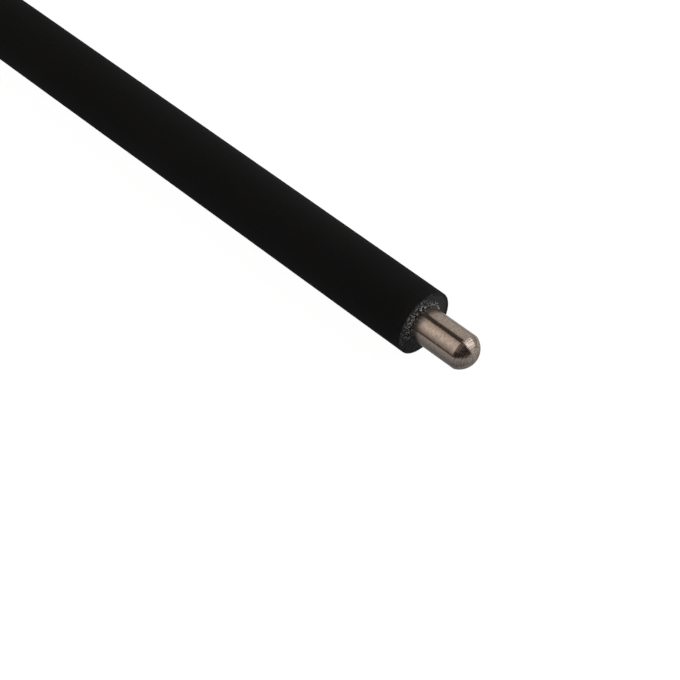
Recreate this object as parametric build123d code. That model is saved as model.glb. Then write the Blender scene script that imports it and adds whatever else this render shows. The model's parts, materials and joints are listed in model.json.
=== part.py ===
"""Rubber-covered roller: a domed steel core rod inside a full-length foam sleeve with a smooth skin.

The rod lies along X, with the middle of its axis at the origin and +Z up. From the axis outwards
the pieces are the steel rod, the film that glues the foam to it, the foam tube and the foam's skin.
Both bare ends of the rod are the same: a plain round journal that ends in a low spherical dome.
A shallow relief, hidden just inside each end of the sleeve, parts the journal from the covered core.
All sizes are in millimetres.
"""
from build123d import *

import os
from math import atan2, degrees

# Driving dimensions. Each one can be changed by itself.
rod_diameter = 8.0
journal_length = 11.2
dome_height = 2.8
relief_width = 1.0
relief_depth = 0.2
sleeve_length = 312.0
sleeve_diameter = 14.5
film_thickness = 0.2
skin_thickness = 0.5
skin_edge_radius = 0.1

# Radii at which one piece ends and the next begins.
rod_radius = rod_diameter / 2
film_radius = rod_radius + film_thickness
skin_radius = sleeve_diameter / 2
foam_radius = skin_radius - skin_thickness

# Places along the axis, measured from the middle of the rod.
sleeve_end = sleeve_length / 2
relief_middle = sleeve_end - relief_width / 2
dome_start = sleeve_end + journal_length
rod_end = dome_start + dome_height


def turned_rod():
    """The core rod: one turned bar, domed beyond the journal at each end, with its two reliefs."""
    dome_radius = (rod_radius**2 + dome_height**2) / (2 * dome_height)
    dome_centre = rod_end - dome_radius
    dome_angle = degrees(atan2(rod_radius, dome_start - dome_centre))
    with BuildPart() as rod:
        with BuildSketch(Plane.XY):
            with BuildLine():
                right_dome = CenterArc((dome_centre, 0), dome_radius, 0, dome_angle)
                left_dome = CenterArc((-dome_centre, 0), dome_radius, 180 - dome_angle, dome_angle)
                Line(right_dome @ 1, left_dome @ 0)
                Line(left_dome @ 1, right_dome @ 0)
            make_face()
            with Locations((relief_middle, rod_radius), (-relief_middle, rod_radius)):
                Rectangle(relief_width, 2 * relief_depth, mode=Mode.SUBTRACT)
        revolve(axis=Axis.X)
    return rod.part


def sleeve_layer(inner_radius, outer_radius, edge_radius=0.0):
    """One layer of the sleeve: a tube over its whole length, its outer edges rounded if asked."""
    wall = outer_radius - inner_radius
    with BuildPart() as layer:
        with BuildSketch(Plane.XY) as section:
            with Locations((0, inner_radius + wall / 2)):
                Rectangle(sleeve_length, wall)
            if edge_radius > 0:
                outer_corners = section.vertices().group_by(Axis.Y)[-1]
                fillet(outer_corners, min(edge_radius, 0.9 * wall))
        revolve(axis=Axis.X)
    return layer.part


nodes = {
    "core_rod": turned_rod(),
    "adhesive_film": sleeve_layer(rod_radius, film_radius),
    "foam_sleeve": sleeve_layer(film_radius, foam_radius),
    "outer_skin": sleeve_layer(foam_radius, skin_radius, skin_edge_radius),
}

os.makedirs("parts", exist_ok=True)
for name, shape in nodes.items():
    shape.label = name
    export_step(shape, f"parts/{name}.step")
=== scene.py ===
"""Looks of the rubber-covered roller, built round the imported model.

Each CAD piece is replaced by a finer mesh, built on its size: a turned rod with tool marks on its
domes, a glue line that ends in a bead, a foam tube with open cells on its cut ends, and a smooth skin.
Shapes are worked out in millimetres along the roller's axis, X, and become metres in new_mesh.
"""
import json
import math
import random

import bpy
import numpy as np
from mathutils import Matrix, Vector, noise


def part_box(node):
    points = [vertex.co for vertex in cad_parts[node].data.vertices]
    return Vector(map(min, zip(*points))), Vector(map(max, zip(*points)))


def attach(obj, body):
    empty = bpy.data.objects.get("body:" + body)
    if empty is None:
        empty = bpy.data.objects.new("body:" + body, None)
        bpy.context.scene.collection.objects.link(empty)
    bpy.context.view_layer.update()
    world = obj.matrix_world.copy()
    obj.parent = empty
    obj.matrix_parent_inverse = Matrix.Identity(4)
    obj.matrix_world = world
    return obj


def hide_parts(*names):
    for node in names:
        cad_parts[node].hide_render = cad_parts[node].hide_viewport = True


MM = 0.001
SEED = 11

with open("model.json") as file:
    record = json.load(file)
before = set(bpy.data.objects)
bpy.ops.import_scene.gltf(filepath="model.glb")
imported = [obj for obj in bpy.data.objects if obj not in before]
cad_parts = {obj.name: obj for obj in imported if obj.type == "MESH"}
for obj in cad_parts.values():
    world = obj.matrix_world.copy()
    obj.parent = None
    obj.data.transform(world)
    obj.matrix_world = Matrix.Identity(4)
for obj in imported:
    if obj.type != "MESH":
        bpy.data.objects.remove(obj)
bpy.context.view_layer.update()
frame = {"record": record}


# ---------------------------------------------------------------- sizes, in mm, from the frame

def top_corner(node):
    """The highest corner of a CAD node's box, in millimetres."""
    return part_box(node)[1] / MM


def mount_length(name):
    """The stated length of one of the record's mounts, in millimetres."""
    mount = next(m for m in frame["record"]["mounts"] if m["name"] == name)
    return mount["dims"]["length_mm"]


rod_radius = top_corner("core_rod").y
rod_end = top_corner("core_rod").x
film_radius = top_corner("adhesive_film").y
foam_radius = top_corner("foam_sleeve").y
skin_radius = top_corner("outer_skin").y
sleeve_end = top_corner("outer_skin").x
dome_start = sleeve_end + mount_length("journal_right")


# ---------------------------------------------------------------- meshes

# Points this close to the sleeve's end, in millimetres, count as level with it.
TOUCH = 0.001


def new_mesh(name, points, faces):
    """A smooth-shaded mesh object from points in millimetres."""
    mesh = bpy.data.meshes.new(name)
    mesh.from_pydata((np.asarray(points) * MM).tolist(), [], faces)
    mesh.polygons.foreach_set("use_smooth", [True] * len(mesh.polygons))
    mesh.update()
    piece = bpy.data.objects.new(name, mesh)
    bpy.context.scene.collection.objects.link(piece)
    return piece


def mark_points(piece, name, values):
    """Stores one number for each point of a mesh, which a material can read by name."""
    attribute = piece.data.attributes.new(name, "FLOAT", "POINT")
    attribute.data.foreach_set("value", np.asarray(values, np.float32).ravel())


def around_axis(profile_x, profile_r, segments):
    """Grids of x, radius and angle: one row for each profile point, one column for each segment."""
    angle = np.linspace(0, 2 * math.pi, segments, endpoint=False)
    x = np.repeat(np.asarray(profile_x)[:, None], segments, axis=1)
    r = np.repeat(np.asarray(profile_r)[:, None], segments, axis=1)
    return x, r, np.repeat(angle[None, :], len(profile_x), axis=0)


def to_points(x, r, angle):
    """Points from grids of x, radius and angle, where the angle runs from +Y towards +Z."""
    return np.stack([x, r * np.cos(angle), r * np.sin(angle)], axis=-1).reshape(-1, 3)


def across(r, angle):
    """The Y and Z of one point at this radius and angle."""
    return r * math.cos(angle), r * math.sin(angle)


def grid_faces(rows, segments, closed):
    """Quads between neighbouring rows, wrapped round the axis, and round the rows if closed.

    They face outwards when the rows run towards +X on the outside of a piece.
    """
    faces = []
    for row in range(rows if closed else rows - 1):
        here, there = row * segments, (row + 1) % rows * segments
        for k in range(segments):
            after = (k + 1) % segments
            faces.append((here + k, here + after, there + after, there + k))
    return faces


def both_ends(half):
    """A profile from one end to the other, from the half that runs from the middle to the +X end."""
    half = np.asarray(half, float)
    other = half[::-1] * (-1, 1)
    return np.concatenate([other, half])


def layered_noise(place, smoothness, layers):
    """Noise in several layers at a place. Each layer is twice as fine as the one before."""
    return noise.fractal(place, smoothness, 2.0, layers)


# ---------------------------------------------------------------- the turned rod

ROD_SEGMENTS = 192
COVERED_ROWS = 40
COVERED_INSET = 2
JOURNAL_ROWS = 24
RING_PITCH = 0.42
RING_DEPTH = 0.020
RING_DEPTHS = (0.1, 1.0)
RING_WIDTHS = (0.6, 1.4)
POINTS_PER_RING = 8
SHOULDER_BREAK = 0.05
TIP_FLAT = 0.02


def dome_radius():
    """The radius of the ball that each dome is a cap of."""
    height = rod_end - dome_start
    return (rod_radius**2 + height**2) / (2 * height)


def dome_centre():
    """How far along X the centre of that ball lies."""
    return rod_end - dome_radius()


def dome_profile():
    """The dome at the +X end, from its shoulder to its tip, cut by tool rings of uneven depth and width."""
    centre = dome_centre()
    span = math.atan2(rod_radius, dome_start - centre)
    ring_count = round(span * dome_radius() / RING_PITCH)
    chance = random.Random(SEED)
    depths = [RING_DEPTH * chance.uniform(*RING_DEPTHS) for _ in range(ring_count)]
    starts = np.cumsum([0] + [chance.uniform(*RING_WIDTHS) for _ in range(ring_count)])
    points = []
    for i in range(1, ring_count * POINTS_PER_RING):
        ring, step = divmod(i, POINTS_PER_RING)
        phase = step / POINTS_PER_RING
        cut = depths[ring] * (0.5 - 0.5 * math.cos(2 * math.pi * phase))
        along = (starts[ring] + (starts[ring + 1] - starts[ring]) * phase) / starts[-1]
        turn = span * (1 - along)
        r = dome_radius() - cut
        points.append((centre + r * math.cos(turn), r * math.sin(turn)))
    return points


def turned_rod():
    """The steel rod: a ground cylinder with a crisp shoulder and a turned dome at each end."""
    covered = np.linspace(COVERED_INSET, sleeve_end - COVERED_INSET, COVERED_ROWS)
    bare = np.linspace(sleeve_end, dome_start - SHOULDER_BREAK, JOURNAL_ROWS)
    straight = [(x, rod_radius) for x in (*covered, *bare)]
    profile = both_ends(straight + dome_profile() + [(rod_end, TIP_FLAT)])
    x, r, angle = around_axis(profile[:, 0], profile[:, 1], ROD_SEGMENTS)
    faces = grid_faces(len(profile), ROD_SEGMENTS, closed=False)
    last = (len(profile) - 1) * ROD_SEGMENTS
    faces.append(tuple(reversed(range(ROD_SEGMENTS))))
    faces.append(tuple(last + k for k in range(ROD_SEGMENTS)))
    piece = new_mesh("turned_rod", to_points(x, r, angle), faces)
    on_dome = np.abs(x) > dome_start
    from_centre = np.hypot(np.abs(x) - dome_centre(), r)
    mark_points(piece, "turned", on_dome)
    mark_points(piece, "groove", (dome_radius() - from_centre) / RING_DEPTH * on_dome)
    return piece


# ---------------------------------------------------------------- the glue line

GLUE_SEGMENTS = 256
GLUE_CLEARANCE = 0.01
GLUE_LAST_ROW = 0.1
GLUE_BEAD = 0.10
BEAD_STEPS = (0.35, 0.7, 1.0)
BEAD_UNEVEN = 0.8
BEAD_LOOP = 2.5
BEAD_ENDS_APART = 3.0
BEAD_FINENESS = 2.2


def bead_noise(angle, end):
    """How uneven the bead is at this angle, on the end at +X (1) or at -X (-1)."""
    y, z = across(BEAD_LOOP, angle)
    place = Vector((y, z, BEAD_ENDS_APART * end))
    return layered_noise(place * BEAD_FINENESS, smoothness=0.9, layers=3)


def glue_line():
    """The film under the foam, which ends in a thin uneven bead round the root of each journal."""
    outer, inner = film_radius, rod_radius + GLUE_CLEARANCE
    along = [(sleeve_end / 2, outer), (sleeve_end - GLUE_LAST_ROW, outer), (sleeve_end, outer)]
    bead = [(sleeve_end + GLUE_BEAD * t, outer + (inner - outer) * t) for t in BEAD_STEPS]
    bore = np.array([(sleeve_end, inner), (-sleeve_end, inner)])
    profile = np.concatenate([both_ends(along + bead), bore])
    x, r, angle = around_axis(profile[:, 0], profile[:, 1], GLUE_SEGMENTS)
    past = np.abs(x) - sleeve_end
    uneven = np.zeros_like(x)
    for spot in zip(*np.nonzero(past > TOUCH)):
        uneven[spot] = bead_noise(angle[spot], np.sign(x[spot]))
    x = np.where(past > TOUCH, np.sign(x) * (sleeve_end + past * (1 + BEAD_UNEVEN * uneven)), x)
    faces = grid_faces(len(profile), GLUE_SEGMENTS, closed=True)
    return new_mesh("glue_line", to_points(x, r, angle), faces)


# ---------------------------------------------------------------- the foam

FOAM_SEGMENTS = 640
FACE_ROWS = 52
CELL_SIZE = 0.54
CELL_DEPTH = 0.32
WALL_SHARE = 0.38
TEAR_DEPTH = 0.20
TEAR_FINENESS = 1.3
EDGE_FADE = 0.08
LEAST_OPEN = 0.10
TORN_SIDE = 132
TORN_SIDE_OPEN = 0.62
TORN_SIDE_FOCUS = 5
NEAR_ROD_SIDE = 100
NEAR_ROD_FOCUS = 2
NEAR_ROD_REACH = 1.2
NEAR_ROD_FADE = 0.8
NEAR_ROD_OPEN = 1.5
# How much paler the foam is painted next to the rod: painted light, standing in for light that the rod
# reflects onto it.
NEAR_ROD_PAINTED_LIGHT = 0.75
# Where the foam is greyest: smeared shut on this side, and painted darker on the far side, which is painted
# shade where the rod's shadow falls.
SMEARED_LIT_SIDE = 20


def facing_turn(angle, degrees):
    """1 on the side of the roller at this angle round the axis, falling to 0 on the other side."""
    return 0.5 + 0.5 * np.cos(angle - math.radians(degrees))


def near_rod(angle, r):
    """1 next to the rod on the upper side, where the foam is torn most and is painted paler, and 0 away
    from it. The paler colour there is painted light, standing in for light that the rod reflects onto the
    foam.
    """
    close = np.clip((rod_radius + NEAR_ROD_REACH - r) / NEAR_ROD_FADE, 0, 1)
    return close * facing_turn(angle, NEAR_ROD_SIDE) ** NEAR_ROD_FOCUS


def openness(angle, r):
    """How open the cut cells are, from 0 to 1: torn open on one side, smeared shut on the other."""
    torn_side = TORN_SIDE_OPEN * facing_turn(angle, TORN_SIDE) ** TORN_SIDE_FOCUS
    return np.clip(LEAST_OPEN + torn_side + NEAR_ROD_OPEN * near_rod(angle, r), 0, 1)


def cell_walls(x, y, z):
    """1 on the walls between foam cells and 0 inside a cell, at a place in millimetres."""
    distances, _ = noise.voronoi(Vector((x, y, z)) / CELL_SIZE)
    return 1 - min(1, (distances[1] - distances[0]) / WALL_SHARE)


def tear_depth(end, y, z):
    """How deeply the foam is torn at a place on one of its cut ends, where 1 is deepest."""
    place = Vector((end, TEAR_FINENESS * y, TEAR_FINENESS * z))
    return 0.5 + 0.5 * layered_noise(place, smoothness=0.9, layers=2)


def cut_face(end):
    """Grids for the foam's cut end at +X (1) or -X (-1): x, radius, angle, and how pale each point is. The
    pale walls are partly painted glint, and the paleness next to the rod is painted light.
    """
    radii = np.linspace(film_radius, foam_radius, FACE_ROWS)
    _, r, angle = around_axis(radii, radii, FOAM_SEGMENTS)
    wall = np.empty_like(r)
    tear = np.empty_like(r)
    for spot in np.ndindex(r.shape):
        y, z = across(r[spot], angle[spot])
        wall[spot] = cell_walls(end * sleeve_end, y, z)
        tear[spot] = tear_depth(end, y, z)
    open_here = openness(angle, r)
    off_edges = np.clip(np.minimum(r - film_radius, foam_radius - r) / EDGE_FADE, 0, 1)
    pit = (CELL_DEPTH * open_here * (1 - wall) + TEAR_DEPTH * np.clip(tear, 0, 1)) * off_edges
    # Painted light: the pale torn walls are partly painted glint, and next to the rod the foam is painted
    # paler for the light that the rod reflects.
    pale = np.clip(wall * open_here + NEAR_ROD_PAINTED_LIGHT * near_rod(angle, r), 0, 1)
    return end * (sleeve_end - pit), r, angle, pale


def foam_tube():
    """The foam tube, with cells standing open on both cut ends."""
    left, right = cut_face(-1), cut_face(1)
    x, r, angle, pale = (np.concatenate([first, second[::-1]]) for first, second in zip(left, right))
    faces = grid_faces(2 * FACE_ROWS, FOAM_SEGMENTS, closed=True)
    piece = new_mesh("foam_tube", to_points(x, r, angle), faces)
    # Stores the painted glints on the walls and the painted light next to the rod, for the foam's colour.
    mark_points(piece, "wall_glint_and_rod_light", pale)
    # Stores how near each point is to the smeared side. The foam's colour uses it for the smear and for
    # painted shade on the far side.
    mark_points(piece, "smear_and_shade", facing_turn(angle, SMEARED_LIT_SIDE))
    return piece


# ---------------------------------------------------------------- the skin

SKIN_SEGMENTS = 256
SIDE_ROWS = 70
SIDE_START = 1
SIDE_TO_END = 4.0
LAST_ROWS = 40
LAST_TO_END = 3.9
RIM_ROUND = 0.1
RIM_STEPS = 8
ROUGH_BAND = 3.0
ROUGH_HEIGHT = 0.02
ROUGH_FINENESS = 2.6
WAVE_HEIGHT = 0.012
WAVE_ALONG = 0.06
WAVE_ACROSS = 0.2
CUT_ROWS = 3
CUT_GRAIN = 0.05
CUT_FINENESS = 5.0
INNER_EDGE = 0.01
SCUFF = 0.10


def rim_arc():
    """The rounded rim at the +X end, from the skin's outside to its cut end."""
    middle_x, middle_r = sleeve_end - RIM_ROUND, skin_radius - RIM_ROUND
    turns = np.linspace(0, math.pi / 2, RIM_STEPS)
    return [(middle_x + RIM_ROUND * math.sin(t), middle_r + RIM_ROUND * math.cos(t)) for t in turns]


def skin_profile():
    """The skin's section: its outside from end to end, then its two cut ends."""
    side = np.linspace(SIDE_START, sleeve_end - SIDE_TO_END, SIDE_ROWS)
    last = np.linspace(sleeve_end - LAST_TO_END, sleeve_end - RIM_ROUND, LAST_ROWS)[:-1]
    outside = both_ends([(x, skin_radius) for x in (*side, *last)] + rim_arc())
    cut_radii = np.linspace(skin_radius - RIM_ROUND, foam_radius, CUT_ROWS)[1:]
    right_cut = np.array([(sleeve_end, cut_radius) for cut_radius in cut_radii])
    return np.concatenate([outside, right_cut, right_cut[::-1] * (-1, 1)])


def side_height(x, r, angle):
    """How far the skin stands off its true radius at a point: slow waves, and roughness near the ends."""
    y, z = across(r, angle)
    rough = 1 - min(1, (sleeve_end - abs(x)) / ROUGH_BAND)
    slow = noise.noise(Vector((x * WAVE_ALONG, y * WAVE_ACROSS, z * WAVE_ACROSS)))
    fine = layered_noise(Vector((x, y, z)) * ROUGH_FINENESS, smoothness=0.8, layers=3)
    return WAVE_HEIGHT * slow + ROUGH_HEIGHT * fine * rough


def cut_dent(end, r, angle):
    """How deep the skin's cut end is dented at a point."""
    place = Vector((end, *across(r, angle)))
    grain = layered_noise(place * CUT_FINENESS, smoothness=0.8, layers=3)
    return CUT_GRAIN * (0.5 + 0.5 * grain)


def skin_tube():
    """The smooth skin, with a crisp rim and a slightly rough last band at each end."""
    profile = skin_profile()
    x, r, angle = around_axis(profile[:, 0], profile[:, 1], SKIN_SEGMENTS)
    from_end = sleeve_end - np.abs(x)
    cut = (from_end < TOUCH) & (r < skin_radius - RIM_ROUND / 2)
    for spot in zip(*np.nonzero(~cut)):
        r[spot] += side_height(x[spot], r[spot], angle[spot])
    for spot in zip(*np.nonzero(cut & (r > foam_radius + INNER_EDGE))):
        end = np.sign(x[spot])
        x[spot] -= end * cut_dent(end, r[spot], angle[spot])
    faces = grid_faces(len(profile), SKIN_SEGMENTS, closed=True)
    piece = new_mesh("skin_tube", to_points(x, r, angle), faces)
    scuffed = SCUFF * np.clip(1 - from_end / ROUGH_BAND, 0, 1)
    on_cut = np.clip(1 - from_end / RIM_ROUND, 0, 1)
    mark_points(piece, "cut", np.clip(scuffed + on_cut, 0, 1))
    return piece


# ---------------------------------------------------------------- materials

NICKEL_DULL = (0.555, 0.462, 0.392)
NICKEL_BRIGHT = (0.78, 0.648, 0.552)
NICKEL_GRIME = (0.13, 0.10, 0.08)
NICKEL_PIT = (0.16, 0.12, 0.09)
GLUE_DARK = (0.022, 0.020, 0.018)
GLUE_PALE = (0.105, 0.094, 0.085)
# The foam's black runs from the first colour, on the far side, to the second, on the smeared side. The
# darker far side is painted shade where the rod's shadow falls.
FOAM_BLACK_SHADED = (0.028, 0.028, 0.029)
FOAM_SMEARED_LIT = (0.058, 0.058, 0.060)
# The torn walls' pale colour, partly a painted glint.
TORN_WALL_AND_GLINT = (0.95, 0.92, 0.88)
SKIN_BLACK = (0.0185, 0.0185, 0.0187)
SKIN_CUT = (0.105, 0.105, 0.108)


def ranged(tree, value, from_low, from_high, to_low, to_high):
    """A node's output brought from one range into another, in any node tree."""
    made = tree.nodes.new("ShaderNodeMapRange")
    made.inputs["From Min"].default_value = from_low
    made.inputs["From Max"].default_value = from_high
    made.inputs["To Min"].default_value = to_low
    made.inputs["To Max"].default_value = to_high
    tree.links.new(value, made.inputs["Value"])
    return made.outputs["Result"]


class Shader:
    """A Principled material, with short ways to add the nodes that this scene uses."""

    def __init__(self, name, color, roughness, metallic=0.0, specular=0.5):
        self.material = bpy.data.materials.new(name)
        self.material.use_nodes = True
        self.tree = self.material.node_tree
        self.main = self.tree.nodes["Principled BSDF"]
        self.main.inputs["Base Color"].default_value = (*color, 1)
        self.main.inputs["Roughness"].default_value = roughness
        self.main.inputs["Metallic"].default_value = metallic
        self.main.inputs["Specular IOR Level"].default_value = specular

    def node(self, kind, **values):
        """A new node, with these input values and settings."""
        made = self.tree.nodes.new(kind)
        for key, value in values.items():
            if key in made.inputs:
                made.inputs[key].default_value = value
            else:
                setattr(made, key, value)
        return made

    def link(self, source, target):
        """Joins a node's output to an input."""
        self.tree.links.new(source, target)

    def noise(self, scale, stretch=(1, 1, 1), detail=4.0):
        """A noise texture in object coordinates, stretched by the given scales."""
        place = self.node("ShaderNodeTexCoord")
        mapping = self.node("ShaderNodeMapping")
        mapping.inputs["Scale"].default_value = stretch
        texture = self.node("ShaderNodeTexNoise", Scale=scale, Detail=detail)
        self.link(place.outputs["Object"], mapping.inputs["Vector"])
        self.link(mapping.outputs["Vector"], texture.inputs["Vector"])
        return texture.outputs["Fac"]

    def spread(self, value, low, high, out_low, out_high):
        """A value brought from the range low to high into out_low to out_high."""
        return ranged(self.tree, value, low, high, out_low, out_high)

    def blend(self, factor, first, second):
        """A colour between two colours. The first may also be another node's output."""
        mix = self.node("ShaderNodeMix", data_type="RGBA")
        colors = [socket for socket in mix.inputs if socket.type == "RGBA"]
        if isinstance(first, tuple):
            colors[0].default_value = (*first, 1)
        else:
            self.link(first, colors[0])
        colors[1].default_value = (*second, 1)
        self.link(factor, mix.inputs[0])
        return next(socket for socket in mix.outputs if socket.type == "RGBA")

    def mark(self, name, low, high, out_low, out_high):
        """A number stored on the mesh, brought into a range."""
        attribute = self.node("ShaderNodeAttribute", attribute_name=name)
        return self.spread(attribute.outputs["Fac"], low, high, out_low, out_high)

    def worked_out(self, operation, first, second):
        """The result of one operation on two values."""
        math_node = self.node("ShaderNodeMath", operation=operation)
        self.link(first, math_node.inputs[0])
        self.link(second, math_node.inputs[1])
        return math_node.outputs[0]

    def sum_of(self, first, second):
        """Two values added."""
        return self.worked_out("ADD", first, second)

    def product_of(self, first, second):
        """Two values multiplied."""
        return self.worked_out("MULTIPLY", first, second)

    def bump(self, height, strength, distance):
        """Makes the surface look raised by a height. Its shape stays the same."""
        bumped = self.node("ShaderNodeBump", Strength=strength, Distance=distance)
        self.link(height, bumped.inputs["Height"])
        self.link(bumped.outputs["Normal"], self.main.inputs["Normal"])


def nickel_tint(shader):
    """The nickel's colour: mottled, with broken grime in the tool rings, and a few pits."""
    mottle = shader.spread(shader.noise(1300, stretch=(1.6, 1, 1), detail=6), 0.3, 0.7, 0, 1)
    broken = shader.spread(shader.noise(2400, detail=2), 0.40, 0.60, 0, 0.6)
    grime = shader.product_of(shader.mark("groove", 0.12, 0.6, 0, 1), broken)
    pits = shader.spread(shader.noise(1500, detail=1), 0.70, 0.75, 0, 0.65)
    tint = shader.blend(mottle, NICKEL_DULL, NICKEL_BRIGHT)
    tint = shader.blend(grime, tint, NICKEL_GRIME)
    return shader.blend(pits, tint, NICKEL_PIT)


def nickel():
    """Warm nickel on ground steel. The grinding runs round the rod, so it blurs reflections along it."""
    shader = Shader("nickelled_steel", (0.66, 0.55, 0.47), roughness=0.21, metallic=1.0)
    shader.main.inputs["Anisotropic"].default_value = 0.9
    shader.main.inputs["Anisotropic Rotation"].default_value = 0.25
    round_rod = shader.node("ShaderNodeTangent", direction_type="RADIAL", axis="X")
    shader.link(round_rod.outputs["Tangent"], shader.main.inputs["Tangent"])
    shader.link(nickel_tint(shader), shader.main.inputs["Base Color"])
    lines = shader.noise(900, stretch=(14, 1, 1), detail=3)
    ground = shader.spread(lines, 0.3, 0.7, 0.18, 0.24)
    turned = shader.mark("turned", 0, 1, 0, 0.03)
    shader.link(shader.sum_of(ground, turned), shader.main.inputs["Roughness"])
    shader.bump(lines, 0.1, 0.00002)
    return shader.material


def glue():
    """Dark adhesive with a faint brown tint and a slight gloss."""
    shader = Shader("adhesive", (0.050, 0.045, 0.041), roughness=0.45, specular=0.3)
    lumps = shader.noise(1800)
    tint = shader.blend(shader.spread(lumps, 0.35, 0.7, 0, 1), GLUE_DARK, GLUE_PALE)
    shader.link(tint, shader.main.inputs["Base Color"])
    shader.bump(lumps, 0.4, 0.00005)
    return shader.material


def foam():
    """Black foam with pale specks on its torn cell walls, partly painted glints, and painted light next to
    the rod. It is greyer on the side that is smeared shut and darker on the far side, where the darkness is
    painted shade from the rod's shadow.
    """
    shader = Shader("black_foam", (0.02, 0.02, 0.021), roughness=0.55, specular=0.25)
    specks = shader.spread(shader.noise(1900, detail=3), 0.49, 0.58, 0, 1)
    # Pale specks on the torn walls, partly painted glint, plus painted light next to the rod.
    pale = shader.product_of(shader.mark("wall_glint_and_rod_light", 0.12, 0.65, 0, 1), specks)
    # Darker away from the smeared side: painted shade where the rod's shadow falls.
    base = shader.blend(shader.mark("smear_and_shade", 0.1, 0.8, 0, 1), FOAM_BLACK_SHADED, FOAM_SMEARED_LIT)
    shader.link(shader.blend(pale, base, TORN_WALL_AND_GLINT), shader.main.inputs["Base Color"])
    shader.bump(shader.noise(5200, detail=3), 0.5, 0.00004)
    return shader.material


def skin():
    """Matt black rubber skin, with a cloudy roughness, and greyer where it was cut or scuffed."""
    shader = Shader("black_skin", SKIN_BLACK, roughness=0.75, specular=0.1)
    cloud = shader.noise(60, detail=5)
    shader.link(shader.spread(cloud, 0.3, 0.7, 0.70, 0.82), shader.main.inputs["Roughness"])
    grain = shader.spread(shader.noise(1700, detail=4), 0.38, 0.64, 0.05, 1)
    cut = shader.product_of(shader.mark("cut", 0, 1, 0, 1), grain)
    shader.link(shader.blend(cut, SKIN_BLACK, SKIN_CUT), shader.main.inputs["Base Color"])
    shader.bump(shader.noise(3600, detail=3), 0.2, 0.00002)
    return shader.material


def dress(piece, material, node):
    """Gives a piece its material, puts it on the body, and lets it stand for its CAD node."""
    piece.data.materials.append(material)
    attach(piece, "root")
    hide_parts(node)
    return piece


dress(turned_rod(), nickel(), "core_rod")
dress(glue_line(), glue(), "adhesive_film")
foam_piece = dress(foam_tube(), foam(), "foam_sleeve")
dress(skin_tube(), skin(), "outer_skin")


# ---------------------------------------------------------------- studio, in metres and degrees

FLOOR_RADIUS = 3.0
FLOOR_RINGS = (0.01, 0.5)
SWEEP_RADIUS = 0.8
SWEEP_HEIGHT = 3.0
SWEEP_STEPS = 16
SWEEP_SEGMENTS = 96
PAPER_SHADE = 0.18
PAPER_GLOW = 0.97
LONG_REACH = 0.7
PANEL_REACH = 0.8
FRONT_ANGLES = (95, 180)
FRONT_STRIPS = 9
FRONT_MIDDLE = 130
FRONT_SPREAD = 42
FRONT_NEAR = 0.06
FRONT_FAR = 0.83
FRONT_RADIANCE = 0.62
FRONT_TINT = (1.06, 0.99, 0.95)
FLOOR_FACTOR = (-0.35, 0.25, 1.0, 1.5)
CEILING_FACTOR = (0.1, 0.7, 1.0, 0.3)
HORIZON = 0.44
ROOM_RAMP = (
    (0.10, (0.140, 0.147, 0.158)),
    (0.39, (0.330, 0.328, 0.330)),
    (HORIZON, (0.046, 0.038, 0.030)),
)
floor_level = -skin_radius * MM
bare_end = Vector((sleeve_end * MM, 0, 0))


def studio_sweep():
    """A pale floor that curves up into a wall all round, so that every view has a plain background."""
    turns = np.linspace(0, math.pi / 2, SWEEP_STEPS)
    flat = FLOOR_RADIUS - SWEEP_RADIUS
    bend = [(flat + SWEEP_RADIUS * math.sin(t), SWEEP_RADIUS - SWEEP_RADIUS * math.cos(t)) for t in turns]
    profile = [*((r, 0) for r in FLOOR_RINGS), *bend, (FLOOR_RADIUS, SWEEP_HEIGHT)]
    angles = np.linspace(0, 2 * math.pi, SWEEP_SEGMENTS, endpoint=False)
    points = [(r * math.cos(t), r * math.sin(t), floor_level + z) for r, z in profile for t in angles]
    faces = grid_faces(len(profile), SWEEP_SEGMENTS, closed=False)
    faces.append(tuple(range(SWEEP_SEGMENTS)))
    sweep = new_mesh("studio_sweep", np.array(points) / MM, faces)
    shader = Shader("pale_paper", (PAPER_SHADE, PAPER_SHADE, PAPER_SHADE), roughness=0.9, specular=0.0)
    shader.main.inputs["Emission Color"].default_value = (1, 1, 1, 1)
    shader.main.inputs["Emission Strength"].default_value = PAPER_GLOW
    sweep.data.materials.append(shader.material)
    sweep.visible_glossy = False
    sweep.visible_diffuse = False
    sweep.visible_shadow = False
    return sweep


def softbox(name, centre, facing, width, height, radiance, tint=(1, 1, 1), roll=0):
    """A rectangular softbox, where facing points from the object to it.

    Its width lies as near to X as it can, and is turned from there by roll.
    """
    light = bpy.data.lights.new(name, "AREA")
    light.color = tint
    light.shape = "RECTANGLE"
    light.size, light.size_y = width, height
    light.energy = radiance * width * height * math.pi
    lamp = bpy.data.objects.new(name, light)
    bpy.context.scene.collection.objects.link(lamp)
    back = facing.normalized()
    level = (Vector((1, 0, 0)) - back * back.x).normalized()
    side = level * math.cos(math.radians(roll)) + back.cross(level) * math.sin(math.radians(roll))
    axes = Matrix((side, back.cross(side), back)).transposed()
    lamp.matrix_world = Matrix.Translation(centre) @ axes.to_4x4()
    lamp.visible_camera = False
    return lamp


def round_axis(degrees):
    """The direction square to the rod at an angle round it, from +Y towards +Z."""
    turn = math.radians(degrees)
    return Vector((0, math.cos(turn), math.sin(turn)))


def long_panel(name, first_angle, last_angle, near, far, radiance, tint=(1, 1, 1)):
    """A softbox parallel to the rod, seen from it between two angles, from near to far along -X."""
    facing = round_axis((first_angle + last_angle) / 2)
    half_angle = math.radians((last_angle - first_angle) / 2)
    centre = bare_end + facing * LONG_REACH - Vector(((near + far) / 2, 0, 0))
    height = 2 * LONG_REACH * math.tan(half_angle)
    return softbox(name, centre, facing, far - near, height, radiance, tint)


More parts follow.
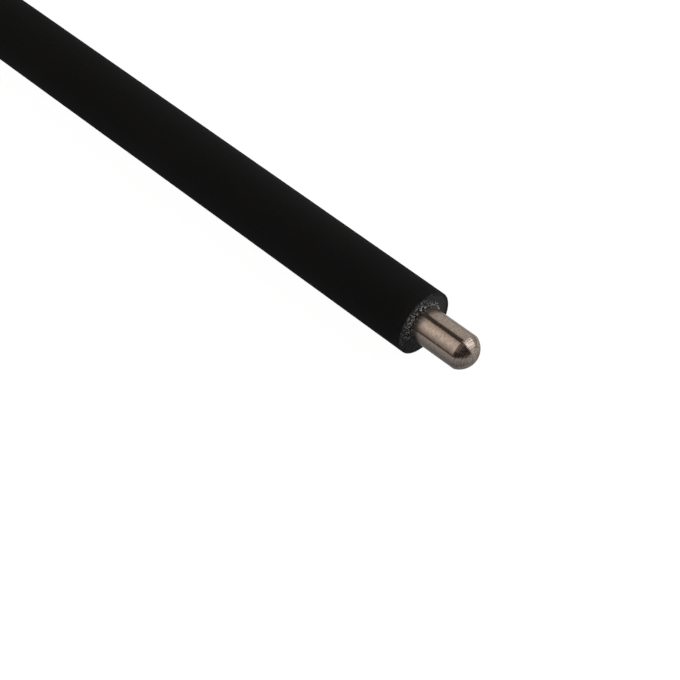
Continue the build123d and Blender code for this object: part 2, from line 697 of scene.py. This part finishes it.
def front_softbox():
    """The front softbox, in long strips: brightest near its middle, and fading towards its edges."""
    first, last = FRONT_ANGLES
    step = (last - first) / FRONT_STRIPS
    for i in range(FRONT_STRIPS):
        start = first + i * step
        fade = math.exp(-(((start + step / 2 - FRONT_MIDDLE) / FRONT_SPREAD) ** 2))
        radiance = FRONT_RADIANCE * fade
        long_panel(f"front_strip_{i + 1}", start, start + step, FRONT_NEAR, FRONT_FAR, radiance, FRONT_TINT)


def panel_ahead(name, polar, angle, width, height, radiance, roll=0):
    """A softbox or card ahead of the bare end, placed by its angle from +X and its angle round X."""
    away = math.radians(polar)
    facing = Vector((math.cos(away), 0, 0)) + math.sin(away) * round_axis(angle)
    centre = bare_end + facing * PANEL_REACH
    return softbox(name, centre, facing, width, height, radiance, roll=roll)


def room_color(tree, height):
    """The room's colour by height, from straight down (0) to straight up (1)."""
    ramp = tree.nodes.new("ShaderNodeValToRGB")
    stops = ramp.color_ramp.elements
    stops.new(ROOM_RAMP[1][0])
    for stop, (position, color) in zip(stops, ROOM_RAMP):
        stop.position = position
        stop.color = (*color, 1)
    tree.links.new(height, ramp.inputs["Fac"])
    return ramp.outputs["Color"]


def room_strength(tree, way, height):
    """The room's brightness: the floor brightens towards +Y, and the ceiling darkens towards +X."""
    is_floor = tree.nodes.new("ShaderNodeMath")
    is_floor.operation = "LESS_THAN"
    is_floor.inputs[1].default_value = HORIZON
    tree.links.new(height, is_floor.inputs[0])
    strength = tree.nodes.new("ShaderNodeMix")
    tree.links.new(is_floor.outputs[0], strength.inputs[0])
    tree.links.new(ranged(tree, way.outputs["X"], *CEILING_FACTOR), strength.inputs[2])
    tree.links.new(ranged(tree, way.outputs["Y"], *FLOOR_FACTOR), strength.inputs[3])
    return strength.outputs[0]


def dim_room():
    """What the object sees between the softboxes: a dark ceiling over a dim floor."""
    world = bpy.data.worlds.new("dim_room")
    world.use_nodes = True
    tree = world.node_tree
    background = tree.nodes["Background"]
    place = tree.nodes.new("ShaderNodeTexCoord")
    way = tree.nodes.new("ShaderNodeSeparateXYZ")
    tree.links.new(place.outputs["Generated"], way.inputs["Vector"])
    height = ranged(tree, way.outputs["Z"], -1, 1, 0, 1)
    tree.links.new(room_color(tree, height), background.inputs["Color"])
    tree.links.new(room_strength(tree, way, height), background.inputs["Strength"])
    bpy.context.scene.world = world


studio_sweep()
panel_ahead("key_softbox", polar=55, angle=46, width=0.52, height=0.82, radiance=1.34, roll=20)
front_softbox()
long_panel("rear_softbox", first_angle=-2, last_angle=68, near=0.06, far=0.90, radiance=0.36)
panel_ahead("low_card", polar=74, angle=8, width=0.70, height=0.36, radiance=0.30)
panel_ahead("front_card", polar=30, angle=15, width=0.38, height=0.40, radiance=0.40)
panel_ahead("top_card", polar=67, angle=122, width=0.30, height=0.85, radiance=0.17)
dim_room()
bpy.context.scene.view_settings.view_transform = "Standard"


# ---------------------------------------------------------------- camera, in mm

CAMERA_AZIMUTH = math.radians(45.2)
CAMERA_ELEVATION = math.radians(47.2)
CAMERA_LENS = 103.0
CAMERA_CLIP = 10.0
CAMERA_DISTANCE = 393.4
END_RIGHT_OF_CENTRE = 16.96
END_ABOVE_CENTRE = 3.39


def photo_camera():
    """The camera at the photograph's viewing angle, aimed so that the sleeve's end is off its centre."""
    sin_a, cos_a = math.sin(CAMERA_AZIMUTH), math.cos(CAMERA_AZIMUTH)
    sin_e, cos_e = math.sin(CAMERA_ELEVATION), math.cos(CAMERA_ELEVATION)
    right = Vector((cos_a, sin_a, 0))
    up = Vector((-sin_a * sin_e, cos_a * sin_e, cos_e))
    back = Vector((sin_a * cos_e, -cos_a * cos_e, sin_e))
    offset = back * CAMERA_DISTANCE - right * END_RIGHT_OF_CENTRE - up * END_ABOVE_CENTRE
    data = bpy.data.cameras.new("photo_camera")
    data.lens = CAMERA_LENS
    data.clip_start = CAMERA_CLIP * MM
    camera = bpy.data.objects.new("photo_camera", data)
    bpy.context.scene.collection.objects.link(camera)
    axes = Matrix((right, up, back)).transposed()
    camera.matrix_world = Matrix.Translation(bare_end + offset * MM) @ axes.to_4x4()
    bpy.context.scene.camera = camera


photo_camera()
